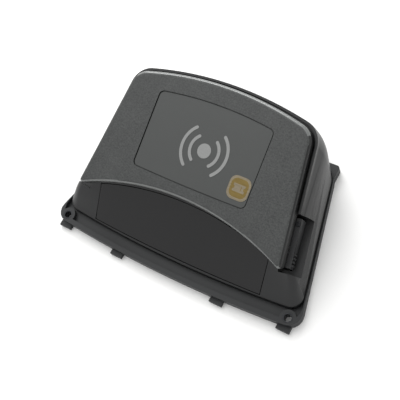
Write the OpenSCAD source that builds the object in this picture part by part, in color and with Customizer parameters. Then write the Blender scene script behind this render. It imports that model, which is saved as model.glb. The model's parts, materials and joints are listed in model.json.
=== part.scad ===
// Ticket validator: a panel-mounted head with a sloping contactless tap face above a
// smoked scan window. The mounting plane is z = 0, +Z points out of the panel, +X to the
// passenger's right and +Y up the panel, towards the thick end. Millimetres.

/* [Mounting flange] */
// Width of the flange at its front (thin) end
front_w = 139; // [115:1:170]
// Width of the flange at its back (thick) end
back_w = 100.5; // [82:0.5:122]
// Depth of the flange from front corners to back corners
flange_len = 77; // [70:1:95]
// How far the front edge bows out past its corners
front_bow = 3.4; // [1:0.2:6]
// How far the back edge bows out past its corners
back_bow = 6; // [3:0.5:8]
// Thickness of the flange rim
flange_t = 4.2; // [4:0.1:5]
// Radius of the screw holes through the corner sleeves
screw_hole_r = 1.7; // [1.2:0.1:1.9]
// Length of the locating tabs past the front edge
tab_reach = 2.4; // [1:0.2:4]

/* [Housing] */
// Wall of the lower housing
wall = 2.2; // [1.6:0.1:2.8]
// Flange showing beside the housing
side_margin = 0.9; // [0.8:0.1:3]
// Flange showing in front of the housing
front_margin = 7.4; // [6:0.2:9]
// Slope of the tap face over the mounting plane, in degrees
face_tilt = 19; // [14:1:24]
// Height of the tap face at its front corners
face_front_h = 22.5; // [19:0.5:28]
// Length of the tap face's side edges
face_side = 60; // [54:1:74]
// How far each side leans in from the foot to the cover's edge at the front
side_lean_front = 11.25; // [9:0.05:14]
// The same at the back
side_lean_back = 3.2; // [2:0.1:5]
// How far the sides swell out below the shoulder
side_swell = 1.6; // [0.4:0.1:2.2]

/* [Front cover] */
// Height of the cover's edge
cover_edge_h = 5; // [3.5:0.5:7]
// Thickness of the cover plate
cover_t = 2.2; // [1.8:0.1:3]
// Rise of the arched lip over the window
arch_rise = 12; // [8:0.5:15]
// Black gap between the cover and the housing's shoulder
reveal_gap = 0.8; // [0.5:0.1:1.4]

/* [Target label] */
// Width of the target label
label_w = 60; // [50:1:68]
// Height of the target label
label_h = 36; // [30:1:40]
// Thickness of the target label
label_t = 0.5; // [0.3:0.1:0.8]

/* [Release latch] */
// Press travel of each latch, in degrees
latch_travel = 6; // [3:0.5:7]
// Length of the latch lever in front of its pivot
latch_len = 19; // [16:0.5:21]
// Radius of the latch pivot pin
latch_pin_r = 1; // [0.8:0.1:1.4]

/* [Electronics] */
// Width of the main board
board_w = 62; // [50:1:66]
// Length of the main board
board_len = 36; // [32:1:38]
// Radius of the scan lens barrel
lens_r = 4; // [3:0.25:4.5]
// Press travel of the tamper plunger
plunger_travel = 1.2; // [0.6:0.1:1.6]

/* [Hidden] */

$fn = 48;
eps = 0.01;
over = 1;
fit = 0.15;
running = 0.05;

// --- outlines ---------------------------------------------------------------------------
front_steps = 12;
back_steps = 8;
corner_steps = 5;

function unit(v) = v / norm(v);
function arc(c, r, a0, a1, n, from = 0) =
    [for (i = [from:n]) c + r * [cos(a0 + (a1 - a0) * i / n), sin(a0 + (a1 - a0) * i / n)]];
function bow_r(half, bow) = (half * half + bow * bow) / (2 * bow);
function heading(v) = atan2(v[1], v[0]);

// Where a corner's centre lies: r in from the side line through p along d, and dist from c
function corner_c(p, d, r, c, dist, last) =
    let (w = p + r * [-d[1], d[0]] - c, b = w * d, q = sqrt(b * b - w * w + dist * dist))
    w + c + d * (last ? q - b : -q - b);

// Right half of a front edge that bows out, from its middle to its corner's end
function bowed_front(p, d, bow, r) =
    let (big = bow_r(p[0], bow), c = [0, p[1] - bow + big],
         k = corner_c(p, d, r, c, big - r, false), a = heading(k - c))
    concat(arc(c, big, -90, a, front_steps), arc(k, r, a, heading(d) - 90, corner_steps, 1));

// The same for an edge that arches in
function arched_front(p, d, rise, r) =
    let (big = bow_r(p[0], rise), c = [0, p[1] + rise - big],
         k = corner_c(p, d, r, c, big + r, true), a = heading(k - c))
    concat(arc(c, big, 90, a, front_steps), arc(k, r, a - 180, heading(d) - 90, corner_steps, 1));

// Right half of a bowed back edge, from its corner to its middle
function bowed_back(p, d, bow, r) =
    let (big = bow_r(p[0], bow), c = [0, p[1] + bow - big],
         k = corner_c(p, d, r, c, big - r, true), a = heading(k - c))
    concat(arc(k, r, heading(d) - 90, a, corner_steps), arc(c, big, a, 90, back_steps, 1));

// Both halves of a loop, without the two points on the centre line
function both_halves(right) = let (last = len(right) - 2) concat(
    [for (i = [1:last]) right[i]], [for (i = [last:-1:1]) [-right[i][0], right[i][1]]]);

function bowed_loop(front, back, bow_f, bow_b, r_f, r_b) =
    let (d = unit(back - front))
    both_halves(concat(bowed_front(front, d, bow_f, r_f), bowed_back(back, d, bow_b, r_b)));
function arched_loop(front, back, rise, bow_b, r_f, r_b) =
    let (d = unit(back - front))
    both_halves(concat(arched_front(front, d, rise, r_f), bowed_back(back, d, bow_b, r_b)));

// --- places -----------------------------------------------------------------------------
front_y = -(flange_len + front_bow - back_bow) / 2 - 2.5;
back_y = front_y + flange_len;
flange_front = [front_w / 2, front_y];
flange_back = [back_w / 2, back_y];
flange_corner_r = 6;
rim_front = 2.4;
groove_w = 0.2;
seat_z = flange_t - 2.2;
ridge_z = flange_t + 0.4;
plate_t = 1.2;
seat_w = 1.5;
ear = 9;
ear_r = 1.5;

// The foot's side lines run along the flange's, side_margin in from them
side_slope = (front_w - back_w) / 2 / flange_len;
foot_back_in = 2;
foot_front = flange_front + [-side_margin - side_slope * front_margin, front_margin];
foot_back = flange_back + [-side_margin + side_slope * foot_back_in, -foot_back_in];
foot_r_front = 6;
foot_r_back = 13;

face_y = foot_front[1] + 8.2;
cover_front = [foot_front[0] - side_lean_front, 0];
cover_back = [foot_back[0] - side_lean_back, face_side];
cover_slope = (cover_front[0] - cover_back[0]) / face_side;
cover_bow = back_bow / cos(face_tilt);
cover_r_front = 1.2;
cover_r_back = 9;
shoulder_w = 1;
shoulder_drop = 4;
swell_at = 0.72;
ledge_d = cover_edge_h + 1;
lip_set = 0.7;

function inset_foot(m, mf) = bowed_loop(foot_front + [-m - side_slope * mf, mf], foot_back - [m, m],
    front_bow, back_bow, foot_r_front - m, foot_r_back - m);
function inset_flange(m, mf) = bowed_loop(flange_front + [-m, mf], flange_back + [-m, -1 - m],
    front_bow, back_bow, flange_corner_r - m / 2, foot_r_back);
function grown_cover(m, mf, rise) = arched_loop(cover_front + [m - cover_slope * mf, mf], cover_back + [m, m],
    rise, cover_bow, cover_r_front, cover_r_back + m);

function in_plan(loop, z) = [for (p = loop) [p[0], p[1], z]];
function on_face(u, v, d = 0) = [u, face_y + v * cos(face_tilt) + d * sin(face_tilt),
    face_front_h + v * sin(face_tilt) - d * cos(face_tilt)];
function in_face(loop, d) = [for (p = loop) on_face(p[0], p[1], d)];
function face_z(y) = face_front_h + (y - face_y) * tan(face_tilt);

module face_frame() {
    translate([0, face_y, face_front_h]) rotate([face_tilt, 0, 0]) children();
}

// A slab in the face's frame, between depths d0 and d1 below the tap face
module face_slab(loop, d0, d1) {
    face_frame() translate([0, 0, -d1]) linear_extrude(d1 - d0) polygon(loop);
}

module plan_slab(loop, z0, z1) {
    translate([0, 0, z0]) linear_extrude(z1 - z0) polygon(loop);
}

// A closed skin through loops that all have the same number of points, lowest first
module skin(loops) {
    n = len(loops[0]);
    top = len(loops) - 1;
    polyhedron(points = [for (loop = loops) each loop], faces = concat(
        [[for (i = [0:n - 1]) i]],
        [[for (i = [n - 1:-1:0]) top * n + i]],
        [for (k = [0:top - 1], i = [0:n - 1]) [k * n + i, k * n + n + i, k * n + n + (i + 1) % n]],
        [for (k = [0:top - 1], i = [0:n - 1])
            [k * n + i, k * n + n + (i + 1) % n, k * n + (i + 1) % n]]));
}

module mirrored() {
    children();
    mirror([1, 0, 0]) children();
}

// --- the window wall ---------------------------------------------------------------------
housing_top_front = cover_front + [reveal_gap + shoulder_w - cover_slope * lip_set, lip_set];
window_span = 0.84;
window_low = 0.05;
window_high = 0.93;
window_t = 2;
seal_t = 0.6;
seal_gap = 0.06;
window_lean = 45;
window_steps = 21;
seal_span = 0.03;
seal_step = 0.08;

low_r = bow_r(foot_front[0], front_bow);
high_r = bow_r(housing_top_front[0], arch_rise);
low_half = asin(foot_front[0] / low_r) - 1;
high_half = asin(housing_top_front[0] / high_r) - 1;

// A point of the wall between the foot (s = 0) and the lip (s = 1), t from side to side
function wall_low(t) = [low_r * sin(t * low_half),
    foot_front[1] - front_bow + low_r * (1 - cos(t * low_half)), ridge_z];
function wall_high(t) = on_face(high_r * sin(t * high_half),
    housing_top_front[1] + arch_rise - high_r * (1 - cos(t * high_half)), ledge_d);
function wall_point(t, s, depth) = (1 - s) * wall_low(t) + s * wall_high(t)
    + depth * [0, sin(window_lean), -cos(window_lean)];

// A curved plate that follows the wall, from depth d0 to d1 behind its outer surface
module wall_plate(t1, s0, s1, d0, d1) {
    ts = [for (i = [0:window_steps]) t1 * (2 * i / window_steps - 1)];
    n = len(ts);
    ring = [for (t = ts) each [wall_point(t, s0, d0), wall_point(t, s1, d0),
        wall_point(t, s1, d1), wall_point(t, s0, d1)]];
    polyhedron(points = ring, faces = concat(
        [[0, 3, 2, 1], [for (k = [0:3]) 4 * (n - 1) + k]],
        [for (i = [0:n - 2], k = [0, 1, 3]) [4 * i + k, 4 * i + (k + 1) % 4, 4 * i + 4 + (k + 1) % 4]],
        [for (i = [0:n - 2], k = [0, 1, 3]) [4 * i + k, 4 * i + 4 + (k + 1) % 4, 4 * i + 4 + k]],
        // The back's diagonals run as the front's do, so that two plates stay parallel
        [for (i = [0:n - 2]) [4 * i + 2, 4 * i + 3, 4 * i + 6]],
        [for (i = [0:n - 2]) [4 * i + 3, 4 * i + 7, 4 * i + 6]]));
}

// --- the latch pockets --------------------------------------------------------------------
side_turn = atan((cover_front[0] - cover_back[0]) / (face_side * cos(face_tilt)));
pocket_tilt = 12;
pocket_y = 0;
pocket_front = 21.5;
pocket_back = 4;
pocket_depth = 6.2;
pocket_wall = 1.6;
pocket_ledge = 2.4;
ledge_z = 15.4;
lever_t = 2.4;
lever_front_h = 5.2;
lever_back_h = 7.8;
lever_gap = 0.5;
lever_back = 2.6;
lever_inset = 0.9;
leg_w = 4;
leg_t = 1.6;
nose = 1.9;
nose_drop = 6.2;
nose_h = 1.4;
spring_r = 1.7;
spring_wire = 0.35;
spring_u = -11;

function side_x(y) = cover_front[0] + reveal_gap + shoulder_w + side_swell
    - (y - face_y) / (face_side * cos(face_tilt)) * (cover_front[0] - cover_back[0]);

// The frame of the right-hand pocket: x out of the wall, y up the side, z off its ledge
module pocket_frame() {
    translate([side_x(pocket_y), pocket_y, ledge_z])
        rotate([0, 0, side_turn]) rotate([pocket_tilt, 0, 0]) children();
}
module pocket_box(grow, drop, up) {
    pocket_frame() translate([-pocket_depth - grow, -pocket_front - grow, -drop])
        cube([pocket_depth + grow + 12, pocket_front + pocket_back + 2 * grow, drop + up]);
}

// --- shared places -------------------------------------------------------------------------
cover_boss_r = 3;
screw_pilot_r = 1.1;
screw_shank_r = 1.25;
screw_head_r = 2.4;
screw_head_h = 0.8;
boss_front = [cover_front[0] - 19, face_y + 20];
boss_back = [cover_back[0] - 8.5, face_y + face_side * cos(face_tilt) - 7.13];
boss_low = plate_t + fit;
function boss_places() = [for (p = [boss_front, boss_back], side = [-1, 1]) [side * p[0], p[1]]];

lug = flange_front + [-7, 2.7];
sleeve_r = screw_hole_r + 0.6;
function lug_places() = [for (side = [-1, 1]) [side * lug[0], lug[1]]];

label_v = (arch_rise + face_side + cover_bow) / 2 - 2.7;
label_bow = 2.3;
label_r = 2.2;
label_gap = 0.45;
recess_d = label_t + 0.25;
function label_loop(grow) = bowed_loop([label_w / 2 + grow, -label_h / 2 - grow],
    [label_w / 2 + grow, label_h / 2 + grow], 0.45, label_bow, label_r + grow, label_r + grow);
module on_label(h0, h1) {
    face_frame() translate([0, label_v, -recess_d + label_t + h0])
        linear_extrude(h1 - h0) children();
}

board_t = 1.6;
board_z = 6.4;
board_y = -3;
standoff_r = 2.6;
board_hole_in = 3;
board_top = board_z + board_t;
function board_holes() = [for (side = [-1, 1], end = [0, 1])
    [side * (board_w / 2 - board_hole_in),
     board_y + (end ? board_len - board_hole_in : board_hole_in)]];
module at(places) {
    for (p = places) translate([p[0], p[1], 0]) children();
}

// --- inner places ------------------------------------------------------------------------
front_wall = 5;
ledge_t = 1.6;
ledge_in = 2.6;
lip_room = 13;
pocket_up = 20;
pilot_len = 9;
pin_x = -lever_inset - lever_t / 2;
leg_x = -lever_inset - lever_t;
leg_swing = latch_len * tan(latch_travel) + 0.3;
grip_ribs = 4;
spring_seat = 0.6;
spring_w = 3;
keeper_x = -0.8;
keeper_t = 1.6;
keeper_root = 0.4;
keeper_len = 7.6;
nose_low_z = ledge_z - (nose_drop + nose_h) * cos(pocket_tilt) - latch_len * sin(pocket_tilt);
keeper_slot_z = nose_low_z - 0.62;
keeper_slot_h = 3;
keeper_h = keeper_slot_z + keeper_slot_h + 1;
keeper_back = 0.5;
socket_x = 19;
socket_y = 17;
socket_w = 12;
socket_len = 10;
socket_wall = 1.2;
socket_key_w = 4;
socket_key_h = 2.4;
terminal_x = 19;
terminal_w = 12;
terminal_len = 9;
entry_w = 4.4;
entry_d = 4.6;
buzzer_x = 0;
buzzer_y = 19;
buzzer_r = 5.5;
buzzer_lift = 0.3;
sound_ring_r = 3.2;
sound_hole_r = 0.7;
sound_port_r = 1.2;
sound_port_d = 1.4;
plunger_x = 0;
plunger_y = 4;
plunger_r = 1.4;
plunger_stem_r = 0.8;
plunger_head = 0.9;
plunger_flange = 0.7;
plunger_spare = 0.9;
switch_size = [6.4, 5.2];
can_at = [-9, board_y + 16];
can_size = [18, 15];
can_h = 2.4;
can_sheet = 0.4;
sam_x = -28;
sam_y = 2;
sam_w = 17;
sam_len = 14;
sam_h = 2.4;
sam_wall = 1;
sam_floor = 0.8;
sam_slot_h = 1;
sam_lip = 3;
card_t = 0.8;
flex_x = 20;
flex_w = 8;
flex_y = 27;
flex_t = 0.3;
imager_w = 21;
imager_h = 9;
imager_len = 9;
lens_seat = 3;
lens_len = 4.4;
lens_dish = 1;
led_w = 3;
led_t = 0.9;
led_in = 1.2;
led_end = 1.5;
arm_drop = 6;
imager_rise = 30;
imager_back = 9.5;
imager_up = 1.5;
bracket_w = 40;
bracket_foot = 5;
bracket_y = -13;
bracket_z = 3.4;
bracket_t = 1;
bracket_hole_x = 16;

// --- base -----------------------------------------------------------------------------------
tab_w = 6.5;
tab_t = 1.8;
tab_corner_x = front_w / 2 - 7.5;
tab_mid_x = 28.5;
gasket_w = 1.1;
gasket_t = 0.7;
gasket_in = 0.6;
gasket_front = 2.4;
pad_w = 1.5;

module flange_ears() {
    r = ear_r;
    for (side = [0, 1]) mirror([side, 0, 0])
        translate([flange_back[0] - ear + 1.4, flange_back[1] - ear, 0]) {
            square([ear - r, ear]);
            square([ear, ear - r]);
            translate([ear - r, ear - r]) circle(r);
        }
}

// The right-hand pocket's frame in plan only: x out of the wall, y along it
module plan_frame() {
    translate([side_x(pocket_y), pocket_y, 0]) rotate([0, 0, side_turn]) children();
}
// Catch that the latch nose sits in
module keeper() plan_frame() translate([keeper_x, -latch_len, 0]) {
    difference() {
        translate([0, 0, seat_z - keeper_root]) cube([keeper_t, keeper_len, keeper_h - seat_z]);
        translate([-over, keeper_t / 2, keeper_slot_z])
            cube([keeper_t + over - keeper_back, keeper_len - keeper_t, keeper_slot_h]);
    }
    translate([0, 0, seat_z - keeper_root]) cube([2.4, keeper_len, keeper_root + 1]);
}
module locating_tab(x) {
    edge = flange_front[1] - front_bow * (1 - pow(x / flange_front[0], 2));
    translate([x - tab_w / 2, edge - tab_reach, 0]) cube([tab_w, tab_reach + 2, tab_t]);
}
function gasket_loop(m) = inset_foot(gasket_in + m, gasket_front + m);
module mounting_flange() color("#3f4042") {
    difference() {
        union() {
            plan_slab(inset_flange(0, 0), 0, flange_t);
            linear_extrude(flange_t) flange_ears();
            mirrored() {
                locating_tab(tab_corner_x);
                locating_tab(tab_mid_x);
            }
        }
        difference() {
            plan_slab(inset_foot(-groove_w, rim_front - front_margin), seat_z, flange_t + over);
            at(lug_places()) cylinder(r = sleeve_r + pad_w, h = flange_t + 2 * over);
        }
        plan_slab(inset_foot(wall + seat_w, front_wall + seat_w), -over, flange_t + over);
        plan_slab(inset_foot(wall, front_wall), -over, plate_t);
        difference() {
            plan_slab(gasket_loop(0), -over, gasket_t);
            plan_slab(gasket_loop(gasket_w), -over, gasket_t + over);
        }
        at(lug_places()) translate([0, 0, -over]) cylinder(r = sleeve_r, h = flange_t + 2 * over);
    }
    mirrored() keeper();
}
module lug_sleeves() color("#b9bcc0") at(lug_places()) difference() {
    cylinder(r = sleeve_r, h = flange_t);
    translate([0, 0, -over]) cylinder(r = screw_hole_r, h = flange_t + 2 * over);
}
module panel_gasket() color("#1c1c1e") difference() {
    plan_slab(gasket_loop(fit / 2), 0, gasket_t - eps);
    plan_slab(gasket_loop(gasket_w - fit / 2), -over, gasket_t + over);
}
module back_plate() color("#a9acae") {
    difference() {
        plan_slab(inset_foot(wall + fit, front_wall + fit), 0, plate_t);
        at(boss_places()) translate([0, 0, -over]) {
            cylinder(r = screw_shank_r + 0.3, h = plate_t + 2 * over);
            cylinder(r = screw_head_r + 0.3, h = over + screw_head_h);
        }
        translate([socket_x - socket_w / 2 - fit, socket_y - fit, -over])
            cube([socket_w + 2 * fit, socket_len + 2 * fit, plate_t + 2 * over]);
        translate([-terminal_x - terminal_w / 2 - fit, socket_y - fit, -over])
            cube([terminal_w + 2 * fit, terminal_len + 2 * fit, plate_t + 2 * over]);
        translate([plunger_x, plunger_y, -over]) cylinder(r = plunger_r + running, h = plate_t + 2 * over);
        translate([buzzer_x, buzzer_y, -over]) for (a = [0:60:300])
            rotate(a) translate([sound_ring_r, 0, 0]) cylinder(r = sound_hole_r, h = plate_t + 2 * over);
    }
    at(board_holes()) translate([0, 0, plate_t]) difference() {
        cylinder(r = standoff_r, h = board_z - plate_t);
        translate([0, 0, 1]) cylinder(r = screw_pilot_r, h = board_z);
    }
    mirrored() translate([bracket_hole_x, bracket_y + bracket_foot / 2, plate_t]) difference() {
        cylinder(r = standoff_r, h = bracket_z - plate_t);
        translate([0, 0, 0.8]) cylinder(r = screw_pilot_r, h = bracket_z);
    }
}

// --- housing and cover ------------------------------------------------------------------------
function shoulder_loop(inner) = grown_cover(reveal_gap + shoulder_w - inner, lip_set, arch_rise);
// The loop where the sides swell: on the line from foot to shoulder, and then outwards
function swell_loop() = let (low = in_plan(inset_foot(0, 0), ridge_z),
    high = in_face(shoulder_loop(0), ledge_d), out = in_face(shoulder_loop(-side_swell), ledge_d))
    [for (i = [0:len(low) - 1]) low[i] + swell_at * (high[i] - low[i]) + out[i] - high[i]];
module housing_outer() skin([in_plan(inset_foot(0, 0), seat_z),
    in_plan(inset_foot(0, 0), ridge_z), swell_loop(), in_face(shoulder_loop(0), ledge_d),
    in_face(shoulder_loop(0), shoulder_drop)]);
module housing_inner() skin([in_plan(inset_foot(wall, front_wall), seat_z - over),
    in_face(grown_cover(reveal_gap + shoulder_w - wall, lip_set + front_wall, arch_rise),
        ledge_d - over)]);
module cover_ledge() difference() {
    face_slab(grown_cover(wall + shoulder_w + reveal_gap, -over, arch_rise), ledge_d - 2 * over,
        ledge_d + ledge_t);
    face_slab(grown_cover(-ledge_in, lip_set + front_wall + ledge_in / 2, arch_rise),
        ledge_d - 3 * over, ledge_d + ledge_t + over);
}

// The shell, resized to its own size so that its walls join as one skin
module lower_housing() color("#3a3b3d") resize([0, 0, 0]) difference() {
    housing_outer();
    difference() {
        housing_inner();
        cover_ledge();
        mirrored() pocket_box(pocket_wall, pocket_ledge, pocket_up);
    }
    face_slab(grown_cover(reveal_gap, -lip_room, arch_rise), -over, ledge_d);
    mirrored() {
        pocket_box(0, 0, pocket_up);
        pocket_frame() {
            translate([pin_x, 0, -pocket_ledge - over])
                cylinder(r = latch_pin_r, h = pocket_ledge + 2 * over);
            translate([leg_x - leg_swing, -latch_len - lever_gap, -pocket_ledge - over])
                cube([leg_t + leg_swing + lever_gap, leg_w + 2 * lever_gap, pocket_ledge + 2 * over]);
            translate([-pocket_depth - spring_seat, spring_u, spring_w])
                rotate([0, 90, 0]) cylinder(r = spring_r + 0.2, h = spring_seat + over);
        }
    }
    wall_plate(window_span - seal_span, window_low + seal_step, window_high - seal_step, -6, 16);
    wall_plate(window_span + 0.005, window_low - 0.008, window_high + 0.008, -6, window_t + seal_t);
}

module front_cover() color("#565857") {
    difference() {
        face_slab(grown_cover(0, 0, arch_rise), 0, cover_edge_h);
        face_slab(grown_cover(-cover_t, cover_t, arch_rise), cover_t, cover_edge_h + over);
        on_label(-label_t, recess_d + over) polygon(label_loop(label_gap));
    }
    for (p = boss_places()) translate([p[0], p[1], boss_low]) difference() {
        cylinder(r = cover_boss_r, h = face_z(p[1]) - 0.6 * cover_t - boss_low);
        translate([0, 0, -over]) cylinder(r = screw_pilot_r, h = pilot_len + over);
    }
}
module cover_gasket() color("#161617") difference() {
    face_slab(grown_cover(-fit, fit, arch_rise), cover_edge_h, ledge_d);
    face_slab(grown_cover(-cover_t, cover_t, arch_rise), cover_edge_h - over, ledge_d + over);
}

// --- label, symbol and badge --------------------------------------------------------------------
symbol_t = 0.12;
dot_r = 3.4;
wave_w = 1.5;
wave_inner_r = 7.3;
wave_outer_r = 11.7;
wave_half = 50;
symbol_at = [2, -0.7];
badge_at = [label_w / 2 - 5.6, -label_h / 2 + 7.6];
badge_size = 10.6;
badge_r = 3.3;
badge_band = 1;

module wave(r) {
    difference() {
        circle(r + wave_w / 2);
        circle(r - wave_w / 2);
        polygon(concat([[0, 0]], arc([0, 0], 2 * r, wave_half, 360 - wave_half, 12)));
    }
    for (a = [-wave_half, wave_half]) translate(r * [cos(a), sin(a)]) circle(wave_w / 2);
}
module rounded_square(size, r) {
    square([size, size - 2 * r], center = true);
    square([size - 2 * r, size], center = true);
    for (x = [-1, 1], y = [-1, 1]) translate([x, y] * (size / 2 - r)) circle(r);
}
module ticket_mark() difference() {
    square([badge_size * 0.56, badge_size * 0.34], center = true);
    for (x = [-1, 1]) translate([x * badge_size * 0.28, 0]) circle(badge_size * 0.07);
    translate([badge_size * 0.1, 0]) square([0.35, badge_size * 0.2], center = true);
}
module target_label() color("#5a5c5b") on_label(-label_t, 0) polygon(label_loop(0));
module wave_symbol() color("#959695") on_label(0, symbol_t) translate(symbol_at) {
    circle(dot_r);
    for (turn = [0, 180], r = [wave_inner_r, wave_outer_r]) rotate(turn) wave(r);
}
module badge_ring() color("#95846a") on_label(0, symbol_t) translate(badge_at) {
    difference() {
        rounded_square(badge_size, badge_r);
        rounded_square(badge_size - 2 * badge_band, badge_r - badge_band / 2);
    }
    ticket_mark();
}
module badge_field() color("#87764a") on_label(0, symbol_t) translate(badge_at) difference() {
    rounded_square(badge_size - 2 * badge_band, badge_r - badge_band / 2);
    ticket_mark();
}

// --- scan window ----------------------------------------------------------------------------------
module scan_window() color("#2f3032") wall_plate(window_span, window_low, window_high, 0, window_t);
module window_gasket() color("#1a1a1b") difference() {
    wall_plate(window_span, window_low, window_high, window_t + seal_gap, window_t + seal_t - seal_gap);
    wall_plate(window_span - seal_span + 0.004, window_low + seal_step - 0.006,
        window_high - seal_step + 0.006, window_t - over, window_t + seal_t + over);
}

// --- latches ----------------------------------------------------------------------------------------
module latch() pocket_frame() difference() {
    union() {
        translate([-lever_inset - lever_t, 0, 0]) rotate([90, 0, 90]) linear_extrude(lever_t)
            polygon([[-latch_len, lever_gap], [lever_back, lever_gap],
                [lever_back, lever_back_h], [-latch_len, lever_front_h]]);
        translate([leg_x, -latch_len, -nose_drop - nose_h])
            cube([leg_t, leg_w, nose_drop + nose_h + lever_gap + 1]);
        translate([leg_x, -latch_len, -nose_drop - nose_h]) cube([leg_t + nose, leg_w, nose_h]);
        for (i = [0:grip_ribs - 1]) translate([-lever_inset - eps, -latch_len + 1 + 1.6 * i, lever_gap + 0.8])
            cube([0.5, 0.8, lever_front_h - lever_gap - 1.6]);
    }
    translate([pin_x, 0, -over]) cylinder(r = latch_pin_r + running, h = lever_back_h + 2 * over);
}
module latch_pin() pocket_frame() translate([pin_x, 0, -pocket_ledge])
    cylinder(r = latch_pin_r, h = pocket_ledge + lever_back_h + 0.6);
module latch_spring() pocket_frame() translate([-pocket_depth - spring_seat, spring_u, spring_w])
    rotate([0, 90, 0]) spring_coil(spring_r, spring_wire, spring_seat + pocket_depth - lever_inset - lever_t);

// A spring of close coils, drawn as one ribbed sleeve that stands on z = 0
module spring_coil(r, wire, length) {
    coils = floor(length / (2 * wire));
    pitch = length / coils;
    rotate_extrude() polygon(concat(
        [for (i = [0:coils - 1]) each [[r - wire, i * pitch], [r, (i + 0.5) * pitch]]],
        [[r - wire, length], [r - 2 * wire, length]],
        [for (i = [coils - 1:-1:0]) each [[r - wire, (i + 0.5) * pitch], [r - 2 * wire, i * pitch]]]));
}
module latch_right() color("#4a4b4d") latch();
module latch_left() color("#4a4b4d") mirror([1, 0, 0]) latch();
module latch_pin_right() color("#c0c2c4") latch_pin();
module latch_pin_left() color("#c0c2c4") mirror([1, 0, 0]) latch_pin();
module latch_spring_right() color("#b0b2b4") latch_spring();
module latch_spring_left() color("#b0b2b4") mirror([1, 0, 0]) latch_spring();

// --- screws -------------------------------------------------------------------------------------------
module screw(shank_r, shank_len, head_r, head_h) {
    difference() {
        translate([0, 0, -head_h]) cylinder(r = head_r, h = head_h);
        translate([0, 0, -head_h - over]) cylinder(r = head_r * 0.45, h = over + head_h * 0.6, $fn = 6);
    }
    translate([0, 0, -eps]) cylinder(r = shank_r, h = shank_len);
}
module cover_screws() color("#8f9295") at(boss_places())
    translate([0, 0, screw_head_h]) screw(screw_pilot_r, pilot_len - 1, screw_head_r, screw_head_h - 0.05);
module board_screws() color("#8f9295") at(board_holes())
    translate([0, 0, board_top]) mirror([0, 0, 1]) screw(screw_pilot_r, board_t + 3, 2, 1.2);
module bracket_screws() color("#8f9295") mirrored()
    translate([bracket_hole_x, bracket_y + bracket_foot / 2, bracket_z + bracket_t]) mirror([0, 0, 1])
        screw(screw_pilot_r, bracket_t + 1.2, 1.9, 1.1);

// --- boards ---------------------------------------------------------------------------------------------
module main_board() color("#1e5a3a") difference() {
    translate([-board_w / 2, board_y, board_z]) cube([board_w, board_len, board_t]);
    at(board_holes()) translate([0, 0, board_z - over]) cylinder(r = screw_pilot_r, h = board_t + 2 * over);
    translate([plunger_x, plunger_y, board_z - over]) cylinder(r = 1, h = board_t + 2 * over);
}
module processor_can() color("#b4b6b8") translate([can_at[0], can_at[1], board_top]) difference() {
    cube([can_size[0], can_size[1], can_h]);
    translate([can_sheet, can_sheet, -over])
        cube([can_size[0] - 2 * can_sheet, can_size[1] - 2 * can_sheet, can_h - can_sheet + over]);
}
module sam_holder() color("#26272a") translate([sam_x, sam_y, board_top]) difference() {
    cube([sam_w, sam_len, sam_h]);
    translate([sam_wall, -over, sam_floor])
        cube([sam_w - 2 * sam_wall, sam_len - sam_wall + over, sam_slot_h]);
    translate([sam_lip, -over, sam_floor + eps])
        cube([sam_w - 2 * sam_lip, sam_len - sam_lip - sam_wall + over, sam_h]);
}
module sam_card() color("#d8d6cc") translate([sam_x + sam_wall + fit, sam_y, board_top + sam_floor + running])
    cube([sam_w - 2 * (sam_wall + fit), sam_len - sam_wall - 2 * fit, card_t]);
module buzzer() color("#1f2022") translate([buzzer_x, buzzer_y, 0]) difference() {
    translate([0, 0, plate_t + buzzer_lift]) cylinder(r = buzzer_r, h = board_z - plate_t - buzzer_lift);
    translate([0, 0, plate_t + buzzer_lift - over]) cylinder(r = sound_port_r, h = sound_port_d + over);
}
module data_socket() color("#d9d6cc") translate([socket_x - socket_w / 2, socket_y, 0]) difference() {
    cube([socket_w, socket_len, board_z]);
    translate([socket_wall, socket_wall, -over])
        cube([socket_w - 2 * socket_wall, socket_len - 2 * socket_wall, board_z - socket_wall + over]);
    translate([(socket_w - socket_key_w) / 2, -over, -over])
        cube([socket_key_w, socket_wall + 2 * over, socket_key_h + over]);
}
module power_terminal() color("#2f7d4f") translate([-terminal_x - terminal_w / 2, socket_y, 0]) difference() {
    cube([terminal_w, terminal_len, board_z]);
    for (x = [0.25, 0.75]) translate([terminal_w * x - entry_w / 2, socket_wall, -over])
        cube([entry_w, terminal_len - 2 * socket_wall, entry_d + over]);
}

// --- antenna --------------------------------------------------------------------------------------------
antenna_d = cover_t + 1.1;
antenna_t = 1;
antenna_w = label_w + 2;
antenna_h = label_h + 4;
coil_turns = 4;
coil_pitch = 1.4;
coil_track = 0.7;
coil_t = 0.1;
ferrite_t = 0.3;
module antenna_board() color("#1d5137") face_frame()
    translate([-antenna_w / 2, label_v - antenna_h / 2, -antenna_d - antenna_t]) cube([antenna_w, antenna_h, antenna_t]);
module antenna_coil() color("#b87333") face_frame() translate([0, label_v, -antenna_d])
    for (i = [0:coil_turns - 1]) let (w = antenna_w - 3 - 2 * i * coil_pitch, h = antenna_h - 3 - 2 * i * coil_pitch)
        linear_extrude(coil_t) difference() {
            square([w, h], center = true);
            square([w - 2 * coil_track, h - 2 * coil_track], center = true);
        }
module ferrite_sheet() color("#4b4a4e") face_frame()
    translate([-antenna_w / 2 + 2, label_v - antenna_h / 2 + 2, -antenna_d - antenna_t - ferrite_t])
        cube([antenna_w - 4, antenna_h - 4, ferrite_t]);
module flex_cable() color("#c98a3c") translate([flex_x, 0, 0]) rotate([90, 0, 90]) linear_extrude(flex_w) {
    top = on_face(0, label_v + antenna_h / 2 - 5, antenna_d + antenna_t + ferrite_t + flex_t);
    polygon([[flex_y, board_top], [flex_y + flex_t, board_top], [top[1] + flex_t, top[2]], [top[1], top[2]]]);
}

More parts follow.
